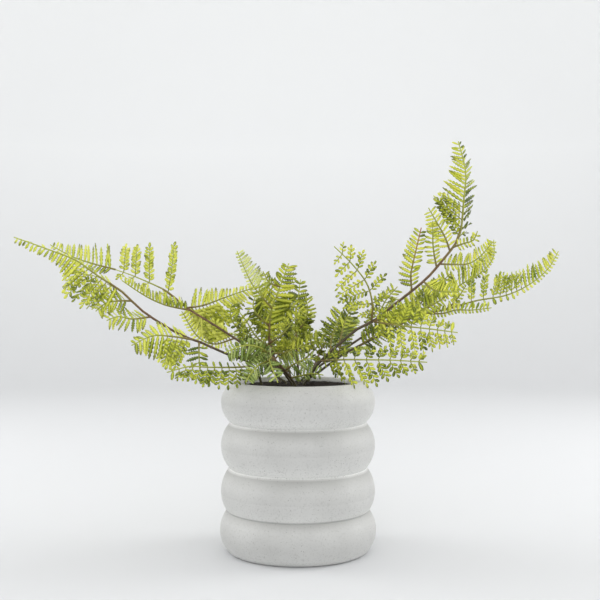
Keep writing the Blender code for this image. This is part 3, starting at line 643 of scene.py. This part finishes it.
class Growth:
    """The points and triangles of one frond, gathered until its mesh is made. Each point has a
    tone, which the materials read as light or dark, and a mark, for spots and red ribs."""

    def __init__(self, seed):
        self.chance = random.Random(seed)
        self.count = 0
        self.points, self.faces, self.woods, self.tones, self.marks = [], [], [], [], []

    def add(self, points, faces, wood, tones, marks):
        self.points.append(points)
        self.faces.append(faces + self.count)
        self.woods.append(np.full(len(faces), wood))
        self.tones.append(np.zeros(len(points)) + tones)
        self.marks.append(np.zeros(len(points)) + marks)
        self.count += len(points)

    def twig(self, route, radii, sides, tones, mark=0.0):
        """A closed tube that tapers along a route, with a point at its far end."""
        rings = len(route)
        side = None
        circles = []
        for i, place in enumerate(route):
            heading = (route[min(i + 1, rings - 1)] - route[max(i - 1, 0)]).normalized()
            if side is None:
                side = heading.orthogonal().normalized()
            side = (side - heading * side.dot(heading)).normalized()
            other = heading.cross(side)
            radius = radii[0] + (radii[1] - radii[0]) * i / (rings - 1)
            circles += [place + (side * cos(2 * pi * k / sides) + other * sin(2 * pi * k / sides))
                        * radius for k in range(sides)]
        points = np.array([p[:] for p in circles + [route[0], route[-1]]]) * MM
        faces = []
        first, last = rings * sides, rings * sides + 1
        for k in range(sides):
            after = (k + 1) % sides
            for i in range(rings - 1):
                a, b = i * sides + k, i * sides + after
                faces += [(a, b, b + sides), (a, b + sides, a + sides)]
            faces += [(first, after, k),
                      (last, last - 1 - sides + k, last - 1 - sides + after)]
        shares = np.append(np.repeat(np.arange(rings), sides) / (rings - 1), (0, 1))
        self.add(points, np.array(faces), 0, tones[0] + (tones[1] - tones[0]) * shares,
                 mark * shares ** 2)

    def leaflet(self, form, root, along, across, length, width, tone, mark):
        """One small leaf from its root, lying along one direction and across another. Its middle is
        lighter than its edge: a painted highlight in the middle and painted shade at the edge."""
        points, faces, tips, edges = form
        along = np.array(along)
        across = np.array(across) - along * np.dot(along, across)
        across /= np.linalg.norm(across)
        lift = np.cross(along, across)
        frame = np.stack([along * length, across * width, lift * width])
        points = (points @ frame + np.array(root)) * MM
        self.add(points, faces, 1, tone + PAINTED_MIDDLE_HIGHLIGHT * (0.5 - edges), tips * mark)

    def any_leaflet(self, form, root, along, across, up, length, width, tone):
        """A small leaf with the unevenness that each one has, sometimes with a dark tip."""
        chance = self.chance
        tilt, roll = chance.gauss(0, TILT_SPREAD), chance.gauss(0, ROLL_SPREAD)
        along = (along + up * tilt + across * chance.gauss(0, TURN_SPREAD)).normalized()
        flat = across * cos(roll) + up * sin(roll)
        tone += chance.gauss(0, TONE_SPREAD)
        mark = chance.random()
        mark = TIP_DARK if mark > DARK_TIPS else TIP_PLAIN * mark
        self.leaflet(form, root, along, flat, length * chance.uniform(*LENGTH_RANGE),
                     width * chance.uniform(*WIDTH_RANGE), tone, mark)

    def sprig(self, root, reach, heading, size, space, tone, red, full):
        """One sprig: a fine rib with leaflets along both sides and one at its end. A short one is a
        single leaflet, and one of a crowded comb a lobed leaf. Others turn edgeways when close."""
        chance = self.chance
        up = reach.cross(heading).normalized()
        across = up.cross(reach).normalized()
        if size < SPRIG_PLAIN or space < CROWDED_SPACE and size < STRAP_MOST:
            form, share = (LEAFLET, STRAP_SHARE) if size < LOBED_LEAST else (LOBED, LOBED_SHARE)
            width = max(STRAP_WIDTHS[0], min(STRAP_WIDTHS[1], space * share, size * 0.5))
            self.any_leaflet(form, root, reach, across, up, size, width * full, tone)
            return
        roll = acos(min(1, space / EDGEWAYS_SPACE)) * EDGEWAYS_SHARE + chance.gauss(0, 0.12)
        across, up = across * cos(roll) + up * sin(roll), up * cos(roll) - across * sin(roll)
        size *= chance.uniform(0.95, 1.02)
        bend = across * chance.gauss(0, 0.03) * size + up * chance.gauss(0, 0.03) * size

        def along(share):
            return (root + reach * size * share - UP * size * SPRIG_DROOP * share * share
                    + bend * share * (1 - share) * 2)

        length = min(LEAFLET_LENGTH, size * LEAFLET_MOST_SHARE)
        spacing = LEAFLET_SPACE * length / LEAFLET_LENGTH / min(full, 1)
        length *= full
        width = length * LEAFLET_WIDTH / LEAFLET_LENGTH
        end = 1 - length * 0.8 / size
        start = min(SPRIG_BARE_SHARE, SPRIG_BARE / size)
        count = max(2, round((end - start) * size / spacing))
        self.twig([along(share) for share in (0, 0.4, 0.75, end + 0.03)],
                  (TWIG_RADIUS, TWIG_RADIUS * 0.5), TWIG_SIDES, TWIG_TONES, red)
        for i in range(count):
            for side in (-1, 1):
                share = start + (end - start) * (i + (SIDE_STAGGER if side > 0 else 0.0)) / count
                place = along(share)
                forward = (along(share + 0.02) - along(share - 0.02)).normalized()
                swing = radians(LEAFLET_SWING - LEAFLET_SWING_LOST * share + chance.gauss(0, 5))
                way = forward * cos(swing) + across * side * sin(swing)
                flat = forward * -side * sin(swing) + across * cos(swing)
                grow = (LEAFLET_ROOT_SIZE + LEAFLET_SWELL * share * (1 - share) * 2
                        - LEAFLET_TAPER * share ** 3)
                self.any_leaflet(LEAFLET, place, way, flat, up, length * grow, width * grow, tone)
        forward = (along(end) - along(end - 0.05)).normalized()
        self.any_leaflet(LEAFLET, along(end), forward, across, up, length * 0.85, width * 0.9,
                         tone)

    def blade(self, spec, stem_route, tone, rib_radius):
        """A rib with its sprigs."""
        points = list(spec["points"])
        if not spec["along_stem"]:
            points[0] = nearest(stem_route, points[0])
        route = smooth_route(points, ROUTE_STEP)
        reached = lengths_along(route)
        total = reached[-1]
        tones = STEM_RIB_TONES if spec["along_stem"] else RIB_TONES
        self.twig(route, (rib_radius, RIB_TIP_RADIUS), RIB_SIDES, tones, spec["red"])
        for start, end, space in sprig_places(total, spec["pitch"], spec["closer"],
                                             spec["sizes"]):
            share = (start + end) / 2 / total
            place, _ = at_length(route, reached, (start + end) / 2)
            _, heading = at_length(route, reached, start)
            right = heading.cross(spec["face"]).normalized()
            normal = right.cross(heading)
            for side, way in enumerate((-1, 1)):
                size = graded(spec["sizes"][side], share)
                if size < SPRIG_LEAST:
                    continue
                tilt = radians(spec["lift"][side])
                out = cos(tilt) * way * right + sin(tilt) * normal
                swing = radians(graded(spec["swing"], share) + spec["skew"][side]
                                + self.chance.gauss(0, 2.5))
                reach = (cos(swing) * heading + sin(swing) * out).normalized()
                # A blade's darker shade is partly its own colour and partly painted shade; behind
                # is painted shade on its right sprigs.
                self.sprig(place, reach, heading, size, space,
                           tone + spec["shade"][side] + 0.25 * (share - 0.4)
                           + self.chance.gauss(0, 0.09), spec["red"] * share ** 2,
                           spec["full"])

    def mesh(self, name, materials):
        """The finished mesh, with its materials and the two values that they read."""
        made = bpy.data.meshes.new(name)
        faces = np.concatenate(self.faces)
        made.vertices.add(self.count)
        made.vertices.foreach_set("co", np.concatenate(self.points).ravel())
        made.loops.add(faces.size)
        made.loops.foreach_set("vertex_index", faces.ravel())
        made.polygons.add(len(faces))
        made.polygons.foreach_set("loop_start", np.arange(len(faces)) * 3)
        made.polygons.foreach_set("material_index", np.concatenate(self.woods))
        for title, values in (("tone", self.tones), ("mark", self.marks)):
            made.attributes.new(title, "FLOAT", "POINT").data.foreach_set(
                "value", np.concatenate(values))
        made.update(calc_edges=True)
        made.validate()
        for stuff in materials:
            made.materials.append(stuff)
        return made


def moulded_stem():
    """Soft polyethylene over wire, tinted: brown at the foot, olive towards the tips, and red-brown
    where a rib is marked. It has a low, even sheen."""
    made, tree, output = new_material("moulded polyethylene stem")
    place = add_node(tree, "TexCoord").outputs["Object"]
    tone = add_node(tree, "Attribute", {"attribute_name": "tone"})
    mark = add_node(tree, "Attribute", {"attribute_name": "mark"})
    grain = add_node(tree, "TexNoise", {"Scale": 1 / 0.006, "Detail": 3.0}, {"Vector": place})
    shift = add_node(tree, "MapRange", {"To Min": -0.14, "To Max": 0.14},
                     {"Value": grain.outputs["Fac"]})
    value = add_node(tree, "Math", {"operation": "ADD"},
                     {0: tone.outputs["Fac"], 1: shift.outputs["Result"]})
    ramp = add_ramp(tree, value.outputs["Value"],
                    ((0.0, "3F3C22"), (0.2, "4A3C26"), (0.36, "6C5033"), (0.5, "807A38"),
                     (0.66, "949A38"), (1.0, "B0B84C")))
    colour = laid_over(tree, mark.outputs["Fac"], ramp, "A4553F")
    shader = add_node(tree, "BsdfPrincipled", {"Roughness": 0.58, "IOR": 1.5},
                      {"Base Color": colour})
    tree.links.new(shader.outputs["BSDF"], output.inputs["Surface"])
    return made


def moulded_leaf(name, deep, fresh, pale):
    """Thin moulded polyethylene, printed in mottled greens: darker and lighter leaflets, some with
    a dark tip. Their lighter middles are painted highlights and part of the darker tone is painted
    shade. Light comes through it, so it glows a little, and it has a soft sheen."""
    made, tree, output = new_material("moulded polyethylene leaf " + name)
    place = add_node(tree, "TexCoord").outputs["Object"]
    tone = add_node(tree, "Attribute", {"attribute_name": "tone"})
    mark = add_node(tree, "Attribute", {"attribute_name": "mark"})
    patch = add_node(tree, "TexNoise", {"Scale": 1 / 0.018, "Detail": 4.0, "Roughness": 0.6},
                     {"Vector": place})
    shift = add_node(tree, "MapRange", {"From Min": 0.25, "From Max": 0.75, "To Min": -0.36,
                                        "To Max": 0.36}, {"Value": patch.outputs["Fac"]})
    value = add_node(tree, "Math", {"operation": "ADD"},
                     {0: tone.outputs["Fac"], 1: shift.outputs["Result"]})
    ramp = add_ramp(tree, value.outputs["Value"], ((0.05, deep), (0.5, fresh), (0.95, pale)))
    colour = laid_over(tree, mark.outputs["Fac"], ramp, "3F4A1E")
    shader = add_node(tree, "BsdfPrincipled", {"Roughness": 0.48, "IOR": 1.5},
                      {"Base Color": colour})
    through = add_node(tree, "Mix", {"data_type": "RGBA", 0: 0.6, 7: linear("EEF288")},
                       {6: colour})
    glow = add_node(tree, "BsdfTranslucent", links={"Color": through.outputs[2]})
    both = add_node(tree, "MixShader", {0: 0.37},
                    {1: shader.outputs["BSDF"], 2: glow.outputs["BSDF"]})
    tree.links.new(both.outputs["Shader"], output.inputs["Surface"])
    return made


stem_plastic = moulded_stem()


def frond(name, seed, stem, branches, leaf, tone=0.5, radius=STEM_RADIUS):
    """One frond: its stem and blades as one piece, in the place of its node."""
    growth = Growth(seed)
    above = smooth_route([Vector(p) for p in stem], STEM_STEP)
    taken_over = [spec["points"][0] for spec in branches if spec["along_stem"]]
    last = len(above) - 1
    if taken_over:
        last = min(range(len(above)), key=lambda i: (above[i] - taken_over[0]).length) + 1
    foot = Vector((stem[0][0], stem[0][1], ROOT_HEIGHT))
    growth.twig([foot] + above[:last + 1], (radius, radius * STEM_TIP_SHARE), STEM_SIDES,
                STEM_TONES)
    for spec in branches:
        rib_radius = radius * STEM_TIP_SHARE if spec["along_stem"] else RIB_RADIUS
        growth.blade(spec, above, tone, rib_radius)
    made = bpy.data.objects.new(name + "_leaves", growth.mesh(name, (stem_plastic, leaf)))
    bpy.context.scene.collection.objects.link(made)
    for face in made.data.polygons:
        face.use_smooth = True
    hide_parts(name)
    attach(made, "root")
    return made


# The lower left frond arches out in front, with its combs hanging.
stem = [(-30, 0, 135), (-32, -4, 144), (-42, -9, 154), (-58, -14, 160), (-77, -20, 169),
        (-94, -26, 176), (-121, -34, 194), (-136, -39, 209), (-155, -44, 222),
        (-170, -48, 233), (-192, -54, 242), (-214, -60, 250)]
frond("frond_left_low", 1, stem, [
    branch(stem[7:], UP, (18, 27, 31, 21, 11, 8, 6, 4), (14, 14, 12, 10, 8, 6, 4, 3),
           (-72, 12), (6.5, 4.4), (70, 62), skew=14, along_stem=True, full=1.05, closer=0.8),
    branch([(-129, -37, 202), (-139, -40, 202), (-148, -44, 200), (-155, -47, 194)], UP,
           (11, 12, 8), (14, 13, 8), (-70, 40), (4.6, 4.6), closer=0.9),
    branch([(-115, -33, 189), (-128, -40, 188), (-138, -45, 190), (-146, -50, 187)], UP,
           (12, 12, 8), (12, 11, 7), (-70, 40), (4.6, 4.6), closer=0.9),
    branch([(-83, -22, 171), (-97, -32, 174), (-112, -42, 175), (-127, -50, 168)], UP,
           (29, 29, 22, 14, 8), (8, 13, 13, 8, 4), (-72, 50), (6.6, 5.4), full=1.05, closer=0.8),
    branch([(-79, -20, 169), (-78, -26, 160), (-77, -30, 148)], VIEWER, (8, 8, 5),
           (9, 11, 7), shade=-0.45, closer=0.8),
    branch([(-37, -7, 149), (-48, -30, 150), (-68, -45, 151), (-83, -52, 152),
            (-99, -58, 148)], (0, -0.9, 0.3), (13, 17, 19, 17, 12, 7), (4, 5, 5, 4, 3),
           pitch=(9, 7), shade=-0.35, closer=0.8),
], moulded_leaf("left low", "566C1C", "C6CF42", "EAED6E"))

# The upper left frond lies behind it, with long sprigs standing up from its stem.
stem = [(-10, 10, 135), (-17, 14, 139), (-30, 20, 153), (-45, 25, 165), (-70, 32, 181),
        (-95, 38, 196), (-106, 41, 205), (-116, 43, 212), (-141, 47, 223), (-158, 50, 229),
        (-181, 53, 235), (-198, 56, 241), (-216.9, 59, 251)]
frond("frond_left_high", 2, stem, [
    branch(stem[6:10], UP, (8, 11, 11), (54, 42, 35, 30, 25), (-45, 80), (20, 15, 11, 7),
           (56, 78), along_stem=True, shade=0.1, full=1.12),
    branch(stem[9:], UP, (11, 9, 6, 3), (24, 19, 14, 9, 4), (-45, 78), (5, 4.4),
           (76, 70), along_stem=True),
    branch([(-92, 37, 193), (-110, 26, 198), (-124, 22, 204), (-135, 18, 211),
            (-146, 14, 219)], UP, (9, 9, 8, 4), (11, 11, 9, 5), (50, 78), (5.4, 5), closer=0.9),
    branch([(-95, 38, 196), (-82, 46, 198), (-66, 52, 204), (-52, 52, 209),
            (-39, 50, 213)], VIEWER, (18, 15, 10, 6, 4), (24, 28, 22, 12, 6),
           pitch=(5.5, 5), shade=0.35, full=1.2, closer=0.75),
    branch([(-53, 27, 171), (-72, 40, 165), (-87, 44, 172), (-100, 44, 193)], VIEWER,
           (5, 5, 4), (27, 26, 18, 8), pitch=(5.5, 5), shade=0.3, full=1.15, closer=0.75),
    branch([(-45, 25, 165), (-47, 20, 174), (-55, 16, 186), (-56, 14, 194),
            (-54, 12, 201)], VIEWER, (5, 5, 4), (13, 14, 12, 6), pitch=(5.5, 5), shade=-0.35),
], moulded_leaf("left high", "48621C", "CBD446", "EEF078"))

# The upright frond in the middle turns its face to the viewer.
stem = [(-5, -4, 135), (-12, -8, 145), (-21, -14, 157), (-23, -20, 175), (-21, -26, 194),
        (-16, -32, 208), (-7, -40, 231)]
frond("frond_centre", 3, stem, [
    branch(stem[3:], VIEWER, (17, 17, 11, 8, 5), (16, 17, 14, 11, 7), (0, 0), (6, 4.6),
           along_stem=True, full=1.3, closer=0.9),
    branch([(-22, -22, 182), (-31, -28, 190), (-35, -32, 198), (-33, -34, 206)], VIEWER,
           (7, 8, 5), (9, 10, 6), pitch=(5, 5), shade=-0.15),
    branch([(-20, -27, 196), (-27, -32, 204), (-30, -35, 211), (-30, -37, 216)], VIEWER,
           (7, 8, 4), (7, 8, 4), pitch=(5, 5)),
    branch([(-17, -31, 205), (-10, -26, 200), (-1, -20, 196), (6, -16, 190)], VIEWER,
           (10, 11, 8, 5), (13, 13, 9, 5), pitch=(5, 5)),
    branch([(-14, -34, 213), (-22, -37, 216), (-25, -39, 221), (-27, -40, 225)], VIEWER,
           (6, 6, 4), (6, 6, 4), pitch=(5, 5)),
    branch([(-21, -15, 160), (-10, -20, 161), (0, -24, 165), (10, -26, 167)], VIEWER,
           (11, 12, 9, 5), (9, 9, 6, 4), pitch=(5.5, 5)),
    branch([(-22, -17, 165), (-33, -26, 174), (-40, -34, 186), (-45, -40, 193)], VIEWER,
           (13, 13, 8), (12, 12, 8), shade=-0.3, closer=0.85),
    branch([(-22, -18, 168), (-12, -28, 176), (-4, -34, 186), (2, -38, 196)], VIEWER,
           (9, 10, 6), (11, 11, 6)),
    branch([(-21, -14, 160), (-33, -17, 163), (-44, -20, 164), (-53, -23, 163)], VIEWER,
           (8, 9, 5), (10, 10, 5)),
], moulded_leaf("centre", "1E320E", "A4B02E", "DEE05E"))

# The upright frond right of the middle stands a little further back and is darker.
stem = [(0, 5, 135), (0, 8, 144), (-1, 12, 162), (-2, 16, 186), (0, 19, 203), (2, 22, 220)]
frond("frond_centre_right", 4, stem, [
    branch(stem[2:], VIEWER, (16, 17, 14, 9, 5), (15, 16, 13, 9, 5), (0, 0), (6, 5),
           along_stem=True, full=1.2),
    branch([(-2, 14, 176), (5, 10, 184), (8, 6, 194), (6, 2, 206)], VIEWER,
           (9, 10, 8), (8, 8, 6), pitch=(5, 5), shade=0.15),
    branch([(-1, 12, 160), (6, 6, 166), (14, 1, 169), (22, -2, 168)], VIEWER,
           (10, 11, 6), (8, 9, 5), pitch=(5.5, 5), shade=0.25),
    branch([(-1, 9, 150), (10, 12, 158), (19, 16, 168), (26, 20, 180)], VIEWER,
           (9, 9, 5), (11, 11, 6)),
    branch([(-1, 10, 154), (-12, 4, 163), (-20, -2, 174), (-26, -6, 186)], VIEWER,
           (9, 9, 5), (9, 9, 5)),
], moulded_leaf("centre right", "16290E", "84932A", "CED456"), 0.42)

# The short frond that hangs over the lip in front is a bluer green.
stem = [(-2, -14, 135), (-9, -22, 145), (-18, -33, 156), (-29, -44, 166), (-42, -54, 168),
        (-55, -62, 163)]
frond("frond_front_low", 5, stem, [
    branch(stem[2:], VIEWER, (14, 16, 15, 12, 6), (5, 6, 6, 5, 3), pitch=(5.5, 5),
           along_stem=True, full=1.15, closer=0.8),
    branch([(-20, -34, 157), (-22, -48, 157), (-19, -58, 150), (-15, -65, 141)], VIEWER,
           (10, 10, 5), (10, 10, 5), closer=0.8),
    branch([(-18, -33, 156), (-28, -48, 154), (-35, -57, 148), (-39, -62, 141)], VIEWER,
           (9, 10, 6), (9, 10, 6), pitch=(6, 5), full=1.1, closer=0.8),
    branch([(-10, -24, 147), (-3, -36, 153), (5, -44, 157), (12, -50, 158)], VIEWER,
           (10, 11, 6), (11, 11, 7), pitch=(5.5, 5), closer=0.8),
    branch([(-6, -18, 141), (2, -26, 143), (11, -30, 145), (20, -32, 144)], VIEWER,
           (9, 10, 6), (5, 6, 4), pitch=(5, 5)),
], moulded_leaf("front low", "46602E", "869E4C", "C2CE84"), 0.42)

# The tall right frond, with a thicker brown stem, stands in front of the others.
stem = [(5, -2, 135), (9, -4, 140), (16, -6, 151), (32, -9, 166), (47, -12, 179),
        (62, -15, 187), (78, -18, 200), (93, -21, 212), (104, -23, 222), (114, -25, 234),
        (124, -27, 247), (128, -28, 258), (130, -30, 281), (131, -32, 303), (125, -34, 326.5)]
frond("frond_right_main", 6, stem, [
    branch(stem[10:], VIEWER, (37, 35, 30, 23, 18, 15, 12, 9, 6),
           (10, 12, 15, 15, 14, 12, 10, 7, 4), (0, -46), (9, 6.6, 4.8, 4.4, 4.2),
           (53, 60, 62), along_stem=True, behind=0.5, full=0.95, closer=0.82),
    branch([(120, -26, 241), (115, -31, 252), (108, -36, 263), (101, -40, 274)], VIEWER,
           (9, 10, 6), (7, 8, 5), pitch=(5.5, 5), shade=0.1, closer=0.9),
    branch([(122, -27, 244), (130, -34, 247), (136, -38, 249), (139, -40, 256)], VIEWER,
           (6, 5, 4), (5, 5, 4), pitch=(5, 5)),
    branch([(90, -21, 210), (89, -25, 222), (90, -28, 230), (92, -31, 240), (96, -35, 259)],
           VIEWER, (9, 11, 10, 6), (7, 8, 7, 5), pitch=(5.5, 5), red=0.85),
    branch([(110, -24, 228), (107, -31, 236), (105, -36, 246), (104, -41, 264)], VIEWER,
           (8, 8, 4), (6, 6, 4), pitch=(5.5, 5)),
    branch([(99, -22, 218), (105, -34, 211), (113, -44, 209), (122, -52, 209)], VIEWER,
           (13, 14, 10, 5), (6, 6, 4), pitch=(4.6, 4.4), shade=0.15, full=1.1, closer=0.75),
    branch([(112, -24, 231), (125, -18, 231), (137, -12, 232), (147, -8, 238),
            (158, -4, 250)], VIEWER, (9, 10, 9, 5), (5, 6, 5, 3), pitch=(6, 5), closer=0.8),
    branch([(59, -15, 186), (70, -26, 184), (81, -34, 182.5), (101, -46, 180.5),
            (121, -56, 178)], VIEWER, (14, 21, 20, 11, 6), (9, 21, 22, 16, 8), pitch=(11, 5),
           swing=(74, 72)),
    branch([(19, -6, 153), (31, -33, 156), (48, -48, 157), (72, -55, 157), (97, -63, 156)],
           VIEWER, (8, 12, 13, 13, 8), (0, 20, 26, 20, 13, 6), pitch=(12, 7),
           swing=(62, 62), shade=-0.3),
    branch([(28, -8, 162), (31, -16, 154), (32, -24, 147), (31, -30, 142)], VIEWER,
           (4, 4, 3), (4, 4, 3), pitch=(5, 5), shade=-0.4),
    branch([(33, -8, 167), (37, -4, 182), (42, 0, 194), (48, 2, 203)], (0.8, -0.5, 0.3),
           (9, 10, 5), (9, 10, 5), pitch=(5.5, 5), shade=-0.5),
    branch([(26, -8, 161), (27, -4, 170), (31, 3, 182), (37, 10, 194)], VIEWER,
           (4, 13, 9), (7, 8, 5), pitch=(5.5, 5), shade=-0.4, closer=0.85),
    branch([(60, -15, 187), (68, -22, 188), (78, -28, 193), (86, -32, 199)], VIEWER,
           (5, 5, 3), (9, 9, 5), pitch=(5, 5), shade=0.25, full=1.2, closer=0.75),
    branch([(59, -14, 185), (59, -20, 200), (54, -27, 216), (42, -34, 231), (28, -42, 244)],
           VIEWER, (0, 22, 28, 27, 22, 12, 6), (0, 20, 20, 19, 18, 12, 6), pitch=(11, 8),
           swing=(78, 68), skew=20, full=0.9),
], moulded_leaf("right main", "44591A", "CBD440", "EFEF6E"), radius=1.25)

# The second right frond stands behind the main one.
stem = [(4, 14, 135), (18, 22, 143), (35, 28, 155), (52, 34, 164), (72, 41, 173),
        (87, 46, 181), (111, 53, 195), (126, 57, 204), (142, 60, 216), (161, 64, 227),
        (172, 67, 240), (173, 69, 256)]
frond("frond_right_mid", 7, stem, [
    branch(stem[6:], VIEWER, (17, 18, 16, 12, 6), (7, 6, 5, 4, 3), (10, -40), (5.5, 4.6),
           along_stem=True, shade=0.1, full=1.15, closer=0.75),
    branch([(52, 34, 164), (62, 27, 171), (74, 20, 179), (86, 14, 184)], VIEWER,
           (10, 12, 7), (12, 12, 7), pitch=(5.5, 5), shade=-0.25, closer=0.8),
    branch([(33, 27, 154), (40, 34, 178), (44, 38, 188), (47, 42, 203)], VIEWER,
           (9, 10, 5), (9, 10, 5), shade=-0.3, closer=0.8),
    branch([(63, 38, 169), (67, 34, 186), (74, 32, 202), (84, 30, 214)], VIEWER,
           (12, 12, 6), (13, 13, 6), closer=0.75),
    branch([(78, 43, 176), (92, 34, 186), (107, 28, 196), (122, 22, 204)], VIEWER,
           (14, 14, 7), (9, 10, 6), pitch=(6, 5)),
    branch([(93, 48, 185), (105, 42, 200), (117, 36, 213), (130, 32, 226)], VIEWER,
           (11, 11, 6), (9, 9, 5), closer=0.75),
], moulded_leaf("right mid", "2C4416", "B0BC38", "E4E668"), 0.38)

# The frond that reaches furthest right has its sprigs standing up.
stem = [(2, 24, 135), (16, 36, 145), (38, 48, 159), (64, 58, 175), (94, 66, 186),
        (115, 72, 191), (135, 76, 195), (159, 80, 202), (187, 84, 207), (209, 87, 217),
        (226, 89, 231), (236, 91, 247)]
frond("frond_right_far", 8, stem, [
    branch(stem[6:], VIEWER, (28, 30, 26, 21, 17, 12, 6), (6, 7, 7, 6, 5, 4, 3), (0, -20),
           (14, 7, 4.4, 4.2), (78, 66), along_stem=True),
    branch([(80, 62, 181), (90, 56, 191), (100, 51, 202), (111, 47, 212)], VIEWER,
           (11, 12, 7), (9, 9, 5), pitch=(5.5, 5), closer=0.8),
    branch([(113, 72, 188), (128, 64, 191), (138, 58, 194), (151, 54, 194),
            (167, 48, 196)], VIEWER, (8, 9, 6), (4, 4, 3), pitch=(6, 6), full=1.1, closer=0.8),
    branch([(133, 76, 194), (141, 70, 204), (148, 65, 216)], VIEWER, (5, 4), (5, 4),
           pitch=(5, 5)),
], moulded_leaf("right far", "627E20", "C6D040", "EEEE78"), 0.52)

# The pale frond stands behind the middle and leans left.
stem = [(-15, 20, 135), (-20, 34, 152), (-26, 48, 181), (-31, 56, 203), (-40, 60, 216),
        (-47, 64, 230), (-54, 68, 246)]
frond("frond_back_left", 9, stem, [
    branch(stem[2:], VIEWER, (8, 7, 5, 4, 3), (20, 19, 16, 11, 5), (-10, 0), (5.6, 4.6),
           along_stem=True, full=1.15, closer=0.75),
    branch([(-18, 28, 143), (-34, 42, 158), (-46, 58, 168), (-58, 74, 174)], UP,
           (12, 14, 8), (12, 14, 8)),
    branch([(-20, 34, 152), (-8, 46, 166), (4, 54, 180), (12, 60, 194)], VIEWER,
           (11, 11, 6), (11, 11, 6)),
], moulded_leaf("back left", "AFBC58", "D6DE88", "ECF0B0"), 0.55)

# Two low fronds arch away behind, one to the right and one to the left.
stem = [(9, 30, 135), (14, 46, 146), (22, 72, 162), (32, 104, 174), (44, 138, 182),
        (54, 169.7, 186)]
frond("frond_back_right", 10, stem, [
    branch(stem[2:], UP, (22, 22, 16, 6), (22, 22, 16, 6), (-8, -8), (8, 7),
           along_stem=True),
    branch([(16, 50, 148), (34, 60, 156), (52, 74, 160), (68, 92, 160)], UP,
           (14, 14, 6), (14, 14, 6)),
], moulded_leaf("back right", "5C7028", "93A63A", "C2CC62"))
stem = [(-6, 32, 135), (-10, 52, 152), (-16, 82, 174), (-26, 114, 188), (-38, 146, 194)]
frond("frond_back_mid", 11, stem, [
    branch(stem[1:], UP, (24, 24, 18, 6), (24, 24, 18, 6), (-8, -8), (8, 7),
           along_stem=True),
    branch([(-8, 40, 140), (-28, 58, 148), (-46, 80, 152), (-62, 104, 150)], UP,
           (14, 14, 6), (14, 14, 6)),
], moulded_leaf("back mid", "4C6326", "859A38", "B7C35C"))
